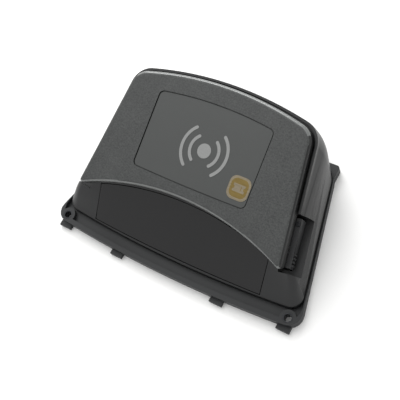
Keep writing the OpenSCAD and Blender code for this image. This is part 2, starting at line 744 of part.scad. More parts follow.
// --- imager -----------------------------------------------------------------------------------------------
module imager_frame() {
    eye = wall_point(0, 0.5, window_t);
    translate([0, eye[1] + imager_back, eye[2] + imager_up]) rotate([90 - imager_rise, 0, 0]) children();
}
module imager_body() color("#222326") imager_frame() difference() {
    translate([-imager_w / 2, -imager_h / 2, -imager_len]) cube([imager_w, imager_h, imager_len]);
    translate([0, 0, -lens_seat]) cylinder(r = lens_r, h = lens_seat + over);
}
module imager_lens() color("#101218") imager_frame() translate([0, 0, -lens_seat]) difference() {
    cylinder(r = lens_r, h = lens_len);
    translate([0, 0, lens_len - lens_dish])
        cylinder(r1 = lens_r * 0.55, r2 = lens_r * 0.8, h = lens_dish + eps);
}
module led_bars() color("#e8e4d0") imager_frame() mirrored()
    translate([imager_w / 2 - led_in - led_w, -imager_h / 2 + led_end, 0])
        cube([led_w, imager_h - 2 * led_end, led_t]);
module imager_bracket() color("#9a9da0") {
    difference() {
        translate([-bracket_w / 2, bracket_y, bracket_z]) cube([bracket_w, bracket_foot, bracket_t]);
        mirrored() translate([bracket_hole_x, bracket_y + bracket_foot / 2, bracket_z - over])
            cylinder(r = screw_pilot_r, h = bracket_t + 2 * over);
    }
    intersection() {
        imager_frame() mirrored() translate([imager_w / 2, -imager_h / 2 - arm_drop, -imager_len])
            cube([bracket_t, imager_h + arm_drop, imager_len - 1]);
        translate([-front_w / 2, front_y, bracket_z]) cube([front_w, flange_len, face_front_h]);
    }
}

// --- tamper switch --------------------------------------------------------------------------------------------
module tamper_switch() color("#1b1c1f") translate([plunger_x, plunger_y, 0]) difference() {
    base = plate_t + plunger_head + plunger_travel + plunger_spare;
    translate([-switch_size[0] / 2, -switch_size[1] / 2, base])
        cube([switch_size[0], switch_size[1], board_z - base]);
    translate([0, 0, plate_t]) cylinder(r = plunger_stem_r + 0.3, h = board_z);
}
module tamper_plunger() color("#c9bfa5") translate([plunger_x, plunger_y, 0]) {
    cylinder(r = plunger_r, h = plate_t + plunger_head);
    translate([0, 0, plate_t + eps]) cylinder(r = plunger_r + plunger_flange, h = plunger_head - eps);
}
module tamper_spring() color("#b0b2b4") translate([plunger_x, plunger_y, plate_t + plunger_head])
    spring_coil(plunger_stem_r + 0.1, 0.15, plunger_travel + plunger_spare);

mounting_flange();
lug_sleeves();
panel_gasket();
back_plate();
lower_housing();
front_cover();
cover_gasket();
target_label();
wave_symbol();
badge_ring();
badge_field();
scan_window();
window_gasket();
latch_right();
latch_left();
latch_pin_right();
latch_pin_left();
latch_spring_right();
latch_spring_left();
cover_screws();
main_board();
board_screws();
processor_can();
sam_holder();
sam_card();
buzzer();
data_socket();
power_terminal();
antenna_board();
antenna_coil();
ferrite_sheet();
flex_cable();
imager_bracket();
imager_body();
imager_lens();
led_bars();
bracket_screws();
tamper_switch();
tamper_plunger();
tamper_spring();
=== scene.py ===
# %% [markdown]
# # A panel-mounted ticket validator
# The unit is a low wedge. A grained cover carries a satin label with a contactless mark and a
# small gold badge; its arched lip hangs over a smoked scan window. A black housing slopes down
# to a screw flange, with a sprung latch in a pocket on each side. Everything here is drawn on the
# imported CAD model, in metres and in its own frame, so no piece has to be fitted by eye.

# %% The fixed frame
import json
import math

import bmesh
import bpy
import numpy as np
from mathutils import Matrix, Vector


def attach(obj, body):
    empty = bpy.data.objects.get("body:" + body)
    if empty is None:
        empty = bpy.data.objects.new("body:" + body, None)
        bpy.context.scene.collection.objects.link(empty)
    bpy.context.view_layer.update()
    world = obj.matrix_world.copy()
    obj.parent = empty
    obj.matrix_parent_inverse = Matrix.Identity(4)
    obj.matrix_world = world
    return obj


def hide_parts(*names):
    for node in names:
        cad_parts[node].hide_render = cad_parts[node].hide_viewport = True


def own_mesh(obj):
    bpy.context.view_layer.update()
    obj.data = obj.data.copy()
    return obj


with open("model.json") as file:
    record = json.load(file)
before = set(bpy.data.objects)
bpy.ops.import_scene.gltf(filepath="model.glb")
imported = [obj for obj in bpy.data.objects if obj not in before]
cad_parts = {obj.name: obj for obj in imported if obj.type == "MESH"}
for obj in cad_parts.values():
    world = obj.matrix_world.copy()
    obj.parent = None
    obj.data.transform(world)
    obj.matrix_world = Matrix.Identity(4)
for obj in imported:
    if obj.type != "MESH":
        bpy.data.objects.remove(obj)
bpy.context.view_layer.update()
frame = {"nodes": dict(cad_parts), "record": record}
nodes = frame["nodes"]
MM = 0.001

# %% [markdown]
# ## Outlines
# The real flange, housing and cover share one family of outlines: an edge that bows out or arches
# in, two straight leaning sides and a bowed back edge, joined by tangent corner rounds. They could
# be traced by hand as Bezier curves, but a rule keeps every offset of them parallel, and gives each
# loop the same number of points, so that two loops can always be joined by a band of quads.

# %% Tangent arcs and closed loops, in millimetres
FRONT_STEPS, BACK_STEPS, CORNER_STEPS = 40, 26, 12


def polar(angle):
    return np.array([math.cos(math.radians(angle)), math.sin(math.radians(angle))])


def arc(centre, radius, start, end, steps, first=0):
    return [centre + radius * polar(start + (end - start) * i / steps) for i in range(first, steps + 1)]


def bow_radius(half, bow):
    return (half * half + bow * bow) / (2 * bow)


def heading(v):
    return math.degrees(math.atan2(v[1], v[0]))


def corner_centre(side, along, r, centre, distance, last):
    w = side + r * np.array([-along[1], along[0]]) - centre
    b = w @ along
    q = math.sqrt(b * b - w @ w + distance * distance)
    return w + centre + along * (q - b if last else -q - b)


def closed_loop(front, back, bow_front, bow_back, r_front, r_back):
    """Front bows out for a positive bow_front and arches in for a negative one."""
    front, back = np.array(front, float), np.array(back, float)
    along = (back - front) / np.linalg.norm(back - front)
    big = bow_radius(front[0], abs(bow_front))
    if bow_front > 0:
        centre = np.array([0, front[1] - bow_front + big])
        k = corner_centre(front, along, r_front, centre, big - r_front, False)
        a, turn = heading(k - centre), 0
        half = arc(centre, big, -90, a, FRONT_STEPS)
    else:
        centre = np.array([0, front[1] - bow_front - big])
        k = corner_centre(front, along, r_front, centre, big + r_front, True)
        a, turn = heading(k - centre), -180
        half = arc(centre, big, 90, a, FRONT_STEPS)
    half += arc(k, r_front, a + turn, heading(along) - 90, CORNER_STEPS, 1)
    big = bow_radius(back[0], bow_back)
    centre = np.array([0, back[1] + bow_back - big])
    k = corner_centre(back, along, r_back, centre, big - r_back, True)
    a = heading(k - centre)
    half += arc(k, r_back, heading(along) - 90, a, CORNER_STEPS) + arc(centre, big, a, 90, BACK_STEPS, 1)
    half[0][0] = half[-1][0] = 0
    return half + [np.array([-p[0], p[1]]) for p in half[-2:0:-1]]


# %% [markdown]
# ## Where the outlines stand
# The same sizes as the CAD source: the foot of the housing lies flat, and the cover lies on a face
# that slopes 19 degrees towards the passenger. `on_face` turns a place on that face and a depth
# below it into a point of the frame.

# %% The unit's own sizes
TILT = math.radians(19)
FACE_Y, FACE_Z, FACE_LEN = -24.1, 22.5, 60.0
FRONT_BOW, BACK_BOW = 3.4, 6.0
FOOT_FRONT, FOOT_BACK, SIDE_SLOPE = (66.75, -32.3), (49.85, 35.3), 0.25
FOOT_R_FRONT, FOOT_R_BACK = 6.0, 13.0
COVER_FRONT, COVER_BACK = (55.5, 0.0), (46.65, FACE_LEN)
COVER_R_FRONT, COVER_R_BACK = 1.2, 9.0
COVER_BOW = BACK_BOW / math.cos(TILT)
COVER_SLOPE = (COVER_FRONT[0] - COVER_BACK[0]) / FACE_LEN
ARCH_RISE, GAP, SHOULDER, SWELL, LIP_SET = 12.0, 0.8, 1.0, 1.6, 0.7
COVER_EDGE, COVER_WALL, WALL, FRONT_WALL = 5.0, 2.2, 2.2, 5.0
LABEL_W, LABEL_H, LABEL_T, LABEL_GAP = 60.0, 36.0, 0.5, 0.45
LABEL_BOW_LOW, LABEL_BOW_HIGH, LABEL_R, LABEL_RISE, BELOW_LABEL = 0.45, 2.3, 2.2, 3.3, 0.25
LABEL_V = (FACE_LEN + COVER_BOW) / 2 + LABEL_RISE
RECESS = LABEL_T + BELOW_LABEL
OVER = 1.0  # how far a cut reaches past what it cuts


def foot_loop(inset, front_inset, z):
    front = (FOOT_FRONT[0] - inset - SIDE_SLOPE * front_inset, FOOT_FRONT[1] + front_inset)
    back = (FOOT_BACK[0] - inset, FOOT_BACK[1] - inset)
    loop = closed_loop(front, back, FRONT_BOW, BACK_BOW, FOOT_R_FRONT - inset, FOOT_R_BACK - inset)
    return [np.array([p[0], p[1], z]) for p in loop]


def cover_outline(grow, grow_front):
    front = (COVER_FRONT[0] + grow - COVER_SLOPE * grow_front, COVER_FRONT[1] + grow_front)
    back = (COVER_BACK[0] + grow, COVER_BACK[1] + grow)
    return closed_loop(front, back, -ARCH_RISE, COVER_BOW, COVER_R_FRONT, COVER_R_BACK + grow)


def label_outline(grow):
    half_w, half_h, r = LABEL_W / 2 + grow, LABEL_H / 2 + grow, LABEL_R + grow
    return closed_loop((half_w, -half_h), (half_w, half_h), LABEL_BOW_LOW, LABEL_BOW_HIGH, r, r)


def on_face(u, v, depth=0.0):
    c, s = math.cos(TILT), math.sin(TILT)
    return np.array([u, FACE_Y + v * c + depth * s, FACE_Z + v * s - depth * c])


def in_face(loop, depth, v0=0.0):
    return [on_face(p[0], p[1] + v0, depth) for p in loop]


print("points in a loop", len(cover_outline(0, 0)), "and the cover is",
      round(FACE_LEN + COVER_BOW - ARCH_RISE, 1), "mm long on its centre line")

# %% [markdown]
# ## Mesh helpers
# A moulding is built as a closed skin over loops, lowest first. Cuts are exact Booleans, and the
# small radius that every moulded edge has comes from a Bevel modifier, with weighted normals so
# that the flat areas stay flat. Each result is baked into a plain mesh at once, with its place in
# the mesh, so the modifiers never reach the export.

# %% Skins, cuts and edge rounds
WELD, FLAT_ANGLE, SHARP_ANGLE = 0.002 * MM, math.radians(0.5), math.radians(40)


def outward(made):
    """Turns an object's faces outwards."""
    bm = bmesh.new()
    bm.from_mesh(made.data)
    bmesh.ops.recalc_face_normals(bm, faces=bm.faces)
    bm.to_mesh(made.data)
    bm.free()
    return made


def solid(name, points, faces):
    """A mesh object from points in millimetres, with its faces turned outwards."""
    mesh = bpy.data.meshes.new(name)
    mesh.from_pydata([tuple(float(x) * MM for x in p) for p in points], [], faces)
    made = bpy.data.objects.new(name, mesh)
    bpy.context.scene.collection.objects.link(made)
    return outward(made)


def skin(name, loops):
    """A closed solid over loops that have the same number of points, lowest first."""
    n, last = len(loops[0]), len(loops) - 1
    faces = [tuple(range(n))[::-1], tuple(last * n + i for i in range(n))]
    for low in range(0, last * n, n):
        for i in range(n):
            after = (i + 1) % n
            faces.append((low + i, low + after, low + n + after, low + n + i))
    return solid(name, [p for loop in loops for p in loop], faces)


def bake(made):
    """Turns an object's modifiers into its mesh."""
    evaluated = made.evaluated_get(bpy.context.evaluated_depsgraph_get())
    mesh = bpy.data.meshes.new_from_object(evaluated)
    old = made.data
    made.modifiers.clear()
    made.data = mesh
    bpy.data.meshes.remove(old)
    return made


def cut_out(target, tool):
    """Cuts the tool out of the target, and deletes the tool."""
    cutter = target.modifiers.new("cut", "BOOLEAN")
    cutter.operation, cutter.solver, cutter.object = "DIFFERENCE", "EXACT", tool
    bake(target)
    bpy.data.objects.remove(tool)
    return target


def round_edges(made, width, angle=35, segments=2):
    """Rounds the edges sharper than angle by width mm, and shades all but the sharp ones smooth."""
    bm = bmesh.new()
    bm.from_mesh(made.data)
    bmesh.ops.remove_doubles(bm, verts=bm.verts, dist=WELD)
    bmesh.ops.dissolve_limit(bm, angle_limit=FLAT_ANGLE, verts=bm.verts, edges=bm.edges)
    bm.to_mesh(made.data)
    bm.free()
    made.data.shade_smooth()
    if width:
        bevel = made.modifiers.new("edge round", "BEVEL")
        bevel.width, bevel.segments, bevel.limit_method = width * MM, segments, "ANGLE"
        bevel.angle_limit, bevel.use_clamp_overlap = math.radians(angle), True
        bevel.miter_outer = "MITER_ARC"
        bake(made)
    made.data.set_sharp_from_angle(angle=SHARP_ANGLE)
    weighted = made.modifiers.new("weighted normals", "WEIGHTED_NORMAL")
    weighted.keep_sharp = True
    return bake(made)


def finish_piece(made, material, body, stands_for):
    """Gives a piece its finish, unless it was painted in several, and its place in the frame."""
    if len(made.data.materials) < 2:
        made.data.materials.clear()
        made.data.materials.append(material)
    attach(made, body)
    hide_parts(*stands_for)
    print(made.name, len(made.data.polygons), "faces")
    return made


def refined(node, width, material, body="root", angle=35):
    """A copy of a CAD node with its doubles merged and its edges rounded by width mm."""
    made = bpy.data.objects.new(node + "_moulded", nodes[node].data.copy())
    bpy.context.scene.collection.objects.link(made)
    round_edges(made, width, angle)
    return finish_piece(made, material, body, (node,))


# %% [markdown]
# ## Materials
# Each finish starts from what the real one is. Colours are sRGB hex values turned to linear by one
# function, and patterns read Object coordinates, so their scale is in real millimetres and no piece
# needs an unwrapping. One small helper adds a node with its settings and its links.

# %% Colour and node helpers
def linear(hex_colour):
    """An opaque linear colour from an sRGB hex value, by the sRGB standard's own curve."""
    def channel(c):
        return c / 12.92 if c <= 0.04045 else ((c + 0.055) / 1.055) ** 2.4
    h = hex_colour.lstrip("#")
    return tuple(channel(int(h[i:i + 2], 16) / 255) for i in (0, 2, 4)) + (1.0,)


def add(tree, kind, inputs=None, **settings):
    """Adds one node: settings are its own properties, inputs are values or sockets to link from."""
    node = tree.nodes.new(kind)
    for name, value in settings.items():
        setattr(node, name, value)
    for name, value in (inputs or {}).items():
        if isinstance(value, bpy.types.NodeSocket):
            tree.links.new(value, node.inputs[name])
        else:
            node.inputs[name].default_value = value
    return node


def new_material(name, **constants):
    """A material with one Principled shader whose constant values are set on its own sockets."""
    made = bpy.data.materials.new(name)
    made.use_nodes = True
    tree = made.node_tree
    shader = tree.nodes["Principled BSDF"]
    for socket, value in constants.items():
        shader.inputs[socket.replace("_", " ")].default_value = value
    return made, tree, shader


def place_mm(tree):
    """Object coordinates in millimetres."""
    place = add(tree, "ShaderNodeTexCoord").outputs["Object"]
    larger = add(tree, "ShaderNodeVectorMath", {0: place, 1: (1000, 1000, 1000)}, operation="MULTIPLY")
    return larger.outputs[0]


def grain(tree, where, size_mm, detail=2.0, roughness=0.5):
    """Noise whose blobs are about size_mm across."""
    return add(tree, "ShaderNodeTexNoise", {"Vector": where, "Scale": 1 / size_mm, "Detail": detail,
                                            "Roughness": roughness}).outputs["Fac"]


NOISE_LOW, NOISE_HIGH = 0.3, 0.7  # where nearly all of a noise's values lie


def spread(tree, value, low, high):
    """Turns a noise's value into the range low to high."""
    return add(tree, "ShaderNodeMapRange", {"Value": value, "From Min": NOISE_LOW, "From Max": NOISE_HIGH,
                                            "To Min": low, "To Max": high}).outputs["Result"]


def mix_colour(tree, value, dark, light):
    ramp = add(tree, "ShaderNodeValToRGB", {"Fac": value})
    ends = ramp.color_ramp.elements
    ends[0].position, ends[0].color = NOISE_LOW, linear(dark)
    ends[1].position, ends[1].color = NOISE_HIGH, linear(light)
    return ramp.outputs["Color"]


def bump(tree, shader, height, strength, depth_mm):
    bumped = add(tree, "ShaderNodeBump", {"Height": height, "Strength": strength,
                                          "Distance": depth_mm * MM})
    tree.links.new(bumped.outputs["Normal"], shader.inputs["Normal"])


# %% [markdown]
# ### Grained ABS for the cover
# The cover is charcoal ABS moulded against a spark-eroded tool: a fine pebble, about 0.7 mm
# across, which breaks the light into soft specks. Wear lightens ABS only slightly, so the colour
# varies by a hair. Two sizes of noise make the pebble, one of them coarse enough to be seen.

# %% Moulded plastics
CLOUD_MM, PEBBLE_SHARE, CLOUD_SHARE, UNEVEN = 9.0, 0.85, 0.15, 0.05


def moulded(name, dark, light, roughness, pebble_mm, depth_mm, ior=1.53, gloss=0.5):
    made, tree, shader = new_material(name, IOR=ior, Specular_IOR_Level=gloss)
    where = place_mm(tree)
    pebble = grain(tree, where, pebble_mm, 3.0, 0.6)
    cloud = grain(tree, where, CLOUD_MM, 2.0)
    faint = add(tree, "ShaderNodeMath", {0: cloud, 1: CLOUD_SHARE}, operation="MULTIPLY").outputs[0]
    both = add(tree, "ShaderNodeMath", {0: pebble, 1: PEBBLE_SHARE, 2: faint}, operation="MULTIPLY_ADD")
    tree.links.new(mix_colour(tree, both.outputs[0], dark, light), shader.inputs["Base Color"])
    uneven = spread(tree, pebble, roughness - UNEVEN, roughness + UNEVEN)
    tree.links.new(uneven, shader.inputs["Roughness"])
    bump(tree, shader, pebble, 0.6, depth_mm)
    return made


GRAINED_ABS = moulded("spark_grained_abs", "#1f2121", "#424443", 0.5, 0.7, 0.08)
# Lip and back rim: smoother ABS painted lighter, a painted highlight
RIM_HIGHLIGHT_ABS = moulded("painted_highlight_rim_abs", "#656766", "#717372", 0.22, 0.9, 0.01)
# Sides of the skirt: ABS painted darker, a painted shade
SKIRT_SHADE_ABS = moulded("painted_shade_skirt_abs", "#141515", "#1b1c1c", 0.4, 0.5, 0.01, gloss=0.35)
SATIN_ABS = moulded("satin_black_abs", "#0e0f10", "#141516", 0.38, 0.5, 0.012)
FLANGE_ABS = moulded("satin_flange_abs", "#242526", "#2c2d2e", 0.5, 0.5, 0.015, gloss=0.25)
ACETAL = moulded("satin_acetal", "#29292a", "#313233", 0.42, 0.6, 0.01, ior=1.48)
PLUNGER_ACETAL = moulded("natural_acetal", "#b8ad93", "#c9bfa5", 0.4, 0.6, 0.01, ior=1.48)
BLACK_PART = moulded("moulded_component_black", "#1a1b1d", "#222326", 0.5, 0.4, 0.01)
WHITE_PART = moulded("natural_nylon", "#cfccc1", "#dcd9cf", 0.45, 0.5, 0.01)
GREEN_PART = moulded("green_terminal_nylon", "#27704a", "#32804f", 0.42, 0.5, 0.01)

# %% [markdown]
# ### Label film, ink, gold foil and smoked acrylic
# The label is hard-coated polycarbonate film: smoother than the cover, with a fine orange peel.
# The mark is screen-printed ink, dull and a little uneven. The badge is hot foil, a real metal
# layer, so it is metallic with fine brush lines. The window is dark acrylic, polished, whose look
# is nearly all reflection: it is a near-black base under a smooth surface.

# %% Film, ink, foil and window
LABEL_FILM = moulded("hard_coated_film", "#383a39", "#3e403f", 0.42, 0.35, 0.006, ior=1.52)
PALE_INK = moulded("screen_printed_ink", "#7d7e7d", "#898a89", 0.62, 0.4, 0.004, ior=1.48)


def brushed_metal(name, dark, light, roughness, line_mm, stretch=(14.0, 1.0, 1.0)):
    """A metal whose noise is drawn out into lines by stretch."""
    made, tree, shader = new_material(name, Metallic=1.0)
    where = place_mm(tree)
    drawn = add(tree, "ShaderNodeMapping", {"Vector": where, "Scale": tuple(1 / s for s in stretch)})
    lines = grain(tree, drawn.outputs[0], line_mm, 3.0, 0.6)
    tree.links.new(mix_colour(tree, lines, dark, light), shader.inputs["Base Color"])
    tree.links.new(spread(tree, lines, roughness - 0.06, roughness + 0.08), shader.inputs["Roughness"])
    bump(tree, shader, lines, 0.25, 0.01)
    return made


GOLD_FOIL = brushed_metal("hot_gold_foil", "#7d7462", "#918774", 0.36, 0.25)
GOLD_FIELD = brushed_metal("brushed_gold_field", "#6f5f3a", "#857347", 0.45, 0.25)
DARK_STEEL = brushed_metal("black_oxide_steel", "#2c2d2f", "#3c3d3f", 0.4, 0.2)
STEEL = brushed_metal("turned_steel", "#a5a8aa", "#bfc2c4", 0.28, 0.2)
GALVANISED = brushed_metal("galvanised_sheet", "#9b9ea0", "#b3b6b8", 0.42, 3.0, (1.0, 1.0, 1.0))
COPPER = brushed_metal("etched_copper", "#a9672c", "#c07a3a", 0.35, 0.3)
SMOKED, smoked_tree, smoked_shader = new_material(
    "smoked_acrylic", Base_Color=linear("#0b0b0c"), IOR=1.49)
smear = grain(smoked_tree, place_mm(smoked_tree), 6.0)
smoked_tree.links.new(spread(smoked_tree, smear, 0.2, 0.26), smoked_shader.inputs["Roughness"])

# %% [markdown]
# ### Rubber, laminate and the small inner finishes
# Gaskets are moulded EPDM: black, dull and slightly dusty. Boards are glass laminate under a
# glossy solder mask. Ferrite film, polyimide flex and the coated lens are each a simple sheet
# whose colour and gloss say what they are.

# %% Rubber, boards and the rest
RUBBER = moulded("moulded_epdm", "#0e0e0f", "#161617", 0.7, 0.3, 0.02, ior=1.5)
SOLDER_MASK = moulded("solder_mask_laminate", "#184c31", "#1f5f3d", 0.28, 0.9, 0.006, ior=1.55)
FERRITE = moulded("ferrite_film", "#3f3e42", "#4b4a4e", 0.55, 0.6, 0.01)
POLYIMIDE = moulded("polyimide_flex", "#b87c32", "#c98a3c", 0.3, 1.5, 0.003)
LENS_GLASS = moulded("coated_lens", "#0b0d13", "#11141c", 0.12, 3.0, 0.001, ior=1.6)
finishes = {
    "cover_abs": GRAINED_ABS, "housing_abs": SATIN_ABS, "flange_abs": FLANGE_ABS,
    "label_film": LABEL_FILM, "symbol_ink": PALE_INK, "gold_foil": GOLD_FOIL,
    "gold_field": GOLD_FIELD, "smoked_window": SMOKED, "black_rubber": RUBBER,
    "latch_pom": ACETAL, "steel": STEEL, "galvanised": GALVANISED, "pcb_green": SOLDER_MASK,
    "copper": COPPER, "ferrite": FERRITE, "black_part": BLACK_PART, "white_part": WHITE_PART,
    "green_part": GREEN_PART, "flex_amber": POLYIMIDE, "lens_glass": LENS_GLASS,
    "plunger_pom": PLUNGER_ACETAL}

# %% Every CAD node takes its slot's finish, and the latch pins a darker steel
slot_of = {part["node"]: part["material_slot"] for part in frame["record"]["subparts"]}
for name, node in nodes.items():
    node.data.materials.clear()
    node.data.materials.append(DARK_STEEL if name.startswith("latch_pin") else finishes[slot_of[name]])
print(len(nodes), "CAD nodes given", len(set(slot_of.values())), "finishes")

# %% [markdown]
# ## The cover
# A tray moulding: a flat tap face with a rounded rim, an arched lip at the front, walls 5 mm deep
# and a shallow bed for the label. A CAD fillet over such an arch is fragile, so the rim is drawn
# here as a stack of offset loops, with one extra loop just inside the round to hold the flat
# area's shading. The label's bed is then cut out. Three finishes meet on the cover: its pebble on
# the tap face; a lip and back rim, smoother and painted lighter as a painted highlight; and the
# skirt's sides, smooth and painted darker as painted shade.

# %% Cover with its rim round and label bed
RIM_R, RIM_STEPS, HOLD, CHAMFER = 1.7, 8, 0.5, 0.35
# Range of up (0 upright wall, 1 tap face) of the painted highlight and the painted shade on the rim
HIGHLIGHT_UP, SHADE_UP = (0.2, 0.93), (-0.2, 0.8)


def rim_profile():
    """Inward offset and depth of a quarter round, from the side wall up to the flat face."""
    return [(RIM_R * (1 - math.cos(math.radians(a))), RIM_R * (1 - math.sin(math.radians(a))))
            for a in np.linspace(0, 90, RIM_STEPS + 1)]


def build_cover():
    third = CHAMFER * 0.3
    outside = [(CHAMFER, COVER_EDGE), (third, COVER_EDGE - third), (0, COVER_EDGE - CHAMFER)]
    outside += rim_profile() + [(RIM_R + HOLD, 0)]
    inside = [(COVER_WALL, COVER_WALL), (COVER_WALL, COVER_EDGE)]
    cover = skin("cover_moulded", [in_face(cover_outline(-m, m), d) for m, d in inside + outside])
    bed = skin("label_bed", [in_face(label_outline(LABEL_GAP), d, LABEL_V) for d in (RECESS, -OVER)])
    return cut_out(cover, bed)


def paint_rim_highlight_shade(made):
    """Paints a highlight on lip and back rim and shade on the skirt's sides, by where a face looks."""
    for material in (GRAINED_ABS, RIM_HIGHLIGHT_ABS, SKIRT_SHADE_ABS):
        made.data.materials.append(material)
    for face in made.data.polygons:
        across = abs(face.normal.x)
        along = abs(face.normal @ Vector((0, math.cos(TILT), math.sin(TILT))))
        up = face.normal @ Vector((0, -math.sin(TILT), math.cos(TILT)))
        if HIGHLIGHT_UP[0] < up < HIGHLIGHT_UP[1] and along > 0.7 * across:
            face.material_index = 1
        elif SHADE_UP[0] < up < SHADE_UP[1] and across > along:
            face.material_index = 2


cover = build_cover()
round_edges(cover, 0)
paint_rim_highlight_shade(cover)
finish_piece(cover, GRAINED_ABS, "root", ("front_cover",))

# %% [markdown]
# ## The housing
# A black wedge that slopes from its foot up to a narrow shoulder round the cover. The window wall
# leans back under the lip, and each side has a pocket for a latch. A loft joins the foot to the
# shoulder, because both outlines have the same number of points, and the ridge at the foot gets
# its round from the loft itself. Booleans then cut the hollow, the cover's bed, the window and the
# pockets.

# %% Housing skin and cuts
SEAT_Z, RIDGE_Z, SHOULDER_DROP, LEDGE_D, SWELL_AT = 2.0, 4.6, 4.0, 6.0, 0.72
RIDGE_R, SWELL_R, SHOULDER_R, ROUND_STEPS = 0.7, 6.0, 1.0, 6
LEDGE_T, LEDGE_IN, LEDGE_FRONT, BED_REACH = 1.6, 2.6, 1.3, 12.0
SIDE_FALL, LEVEL_LEN = COVER_FRONT[0] - COVER_BACK[0], FACE_LEN * math.cos(TILT)
SIDE_TURN = math.degrees(math.atan(SIDE_FALL / LEVEL_LEN))
SIDE_X = COVER_FRONT[0] + GAP + SHOULDER + SWELL + FACE_Y / LEVEL_LEN * SIDE_FALL
POCKET_TILT, LEDGE_Z, POCKET_WALL, POCKET_FLOOR = 12.0, 15.4, 1.6, 2.4
POCKET_FRONT, POCKET_BACK, POCKET_DEPTH = 21.5, 4.0, 6.2
POCKET_OUT, POCKET_TOP = 12.0, 20.0  # past the swell, and past the shoulder
LATCH_LEN, PIN_R, PIN_X = 19.0, 1.0, -2.1
LEG_X, LEG_W, LEG_IN, LEG_OUT, LEG_GAP = -3.3, 4.0, 2.3, 2.1, 0.5
SPRING_Y, SPRING_Z, SPRING_SEAT, SPRING_SEAT_R = -11.0, 3.0, 0.6, 1.9
pocket_frame = (Matrix.Translation((SIDE_X, 0, LEDGE_Z))
                @ Matrix.Rotation(math.radians(SIDE_TURN), 4, "Z")
                @ Matrix.Rotation(math.radians(POCKET_TILT), 4, "X"))


def part_way(p, other, radius):
    """The point radius mm from p towards the other, or just under half way if that is nearer."""
    way = other - p
    return p + way * min(0.45, radius / max(np.linalg.norm(way), 1e-9))


def rounded(loops, radii):
    """Replaces each inner loop by a fan that rounds its corner, reaching radius mm to each side."""
    out = [loops[0]]
    for below, here, above, radius in zip(loops, loops[1:], loops[2:], radii):
        for t in np.linspace(0, 1, ROUND_STEPS + 1):
            out.append([(1 - t) ** 2 * part_way(p, a, radius) + 2 * t * (1 - t) * p
                        + t * t * part_way(p, b, radius) for a, p, b in zip(below, here, above)])
    return out + [loops[-1]]


def in_pocket(point, side):
    """A point of the pocket's frame; side is 1 for the right-hand pocket and -1 for the left."""
    p = pocket_frame @ Vector(point)
    return np.array([side * p.x, p.y, p.z])


BOX_FACES = [(0, 1, 2, 3), (4, 5, 6, 7), (0, 1, 5, 4), (1, 2, 6, 5), (2, 3, 7, 6), (3, 0, 4, 7)]
ROD_STEPS = 24


def pocket_block(name, low, high, side):
    """A box given in the pocket's frame."""
    corners = [(x, y, z) for z in (low[2], high[2]) for x, y in
               ((low[0], low[1]), (high[0], low[1]), (high[0], high[1]), (low[0], high[1]))]
    return solid(name, [in_pocket(c, side) for c in corners], BOX_FACES)


def pocket_rod(name, radius, start, end, side):
    """A round rod given in the pocket's frame, standing across its Y axis."""
    axis = np.array(end, float) - np.array(start, float)
    across = np.array([0, 1.0, 0])
    other = np.cross(axis / np.linalg.norm(axis), across)
    turns = [polar(360 * i / ROD_STEPS) for i in range(ROD_STEPS)]
    return skin(name, [[in_pocket(np.array(c) + radius * (t[0] * across + t[1] * other), side) for t in turns]
                       for c in (start, end)])


TOP_X = COVER_FRONT[0] + GAP + SHOULDER - COVER_SLOPE * LIP_SET
LOW_R, HIGH_R = bow_radius(FOOT_FRONT[0], FRONT_BOW), bow_radius(TOP_X, ARCH_RISE)
WALL_END, WALL_LEAN, WALL_STEPS = 1.0, math.radians(45), 60
LOW_HALF = math.degrees(math.asin(FOOT_FRONT[0] / LOW_R)) - WALL_END
HIGH_HALF = math.degrees(math.asin(TOP_X / HIGH_R)) - WALL_END
LEAN = np.array([0, math.sin(WALL_LEAN), -math.cos(WALL_LEAN)])
# Shares of the window wall: half width, low edge and high edge
PANE, OPENING, REBATE = (0.84, 0.05, 0.93), (0.81, 0.13, 0.85), (0.845, 0.042, 0.938)
PANE_T, REBATE_D, BEFORE_WALL, BEHIND_WALL = 2.0, 2.6, 6.0, 16.0


def wall_point(t, s, depth):
    """A point of the window wall: t from side to side, s from the foot up to the lip."""
    low_x, low_drop = polar(t * LOW_HALF)[1] * LOW_R, LOW_R * (1 - polar(t * LOW_HALF)[0])
    high_x, high_drop = polar(t * HIGH_HALF)[1] * HIGH_R, HIGH_R * (1 - polar(t * HIGH_HALF)[0])
    low = np.array([low_x, FOOT_FRONT[1] - FRONT_BOW + low_drop, RIDGE_Z])
    high = on_face(high_x, LIP_SET + ARCH_RISE - high_drop, LEDGE_D)
    return (1 - s) * low + s * high + depth * LEAN


def wall_plate(name, shares, d0, d1):
    """A plate that follows the window wall from depth d0 to depth d1."""
    t1, s0, s1 = shares
    return skin(name, [[wall_point(t, s, d) for s, d in ((s0, d0), (s1, d0), (s1, d1), (s0, d1))]
                       for t in np.linspace(-t1, t1, WALL_STEPS + 1)])


def pocket_cuts(housing, side):
    """The pocket, the slot for the latch's leg, the hole for its pin and the seat of its spring."""
    floor_cut = -POCKET_FLOOR - OVER
    cut_out(housing, pocket_block("pocket", (-POCKET_DEPTH, -POCKET_FRONT, 0),
                                  (POCKET_OUT, POCKET_BACK, POCKET_TOP), side))
    cut_out(housing, pocket_block("leg_slot", (LEG_X - LEG_IN, -LATCH_LEN - LEG_GAP, floor_cut),
                                  (LEG_X + LEG_OUT, -LATCH_LEN + LEG_W + LEG_GAP, OVER), side))
    cut_out(housing, pocket_rod("pin_hole", PIN_R, (PIN_X, 0, floor_cut), (PIN_X, 0, OVER), side))
    seat = (-POCKET_DEPTH - SPRING_SEAT, SPRING_Y, SPRING_Z)
    mouth = (-POCKET_DEPTH + OVER, SPRING_Y, SPRING_Z)
    cut_out(housing, pocket_rod("spring_seat", SPRING_SEAT_R, seat, mouth, side))


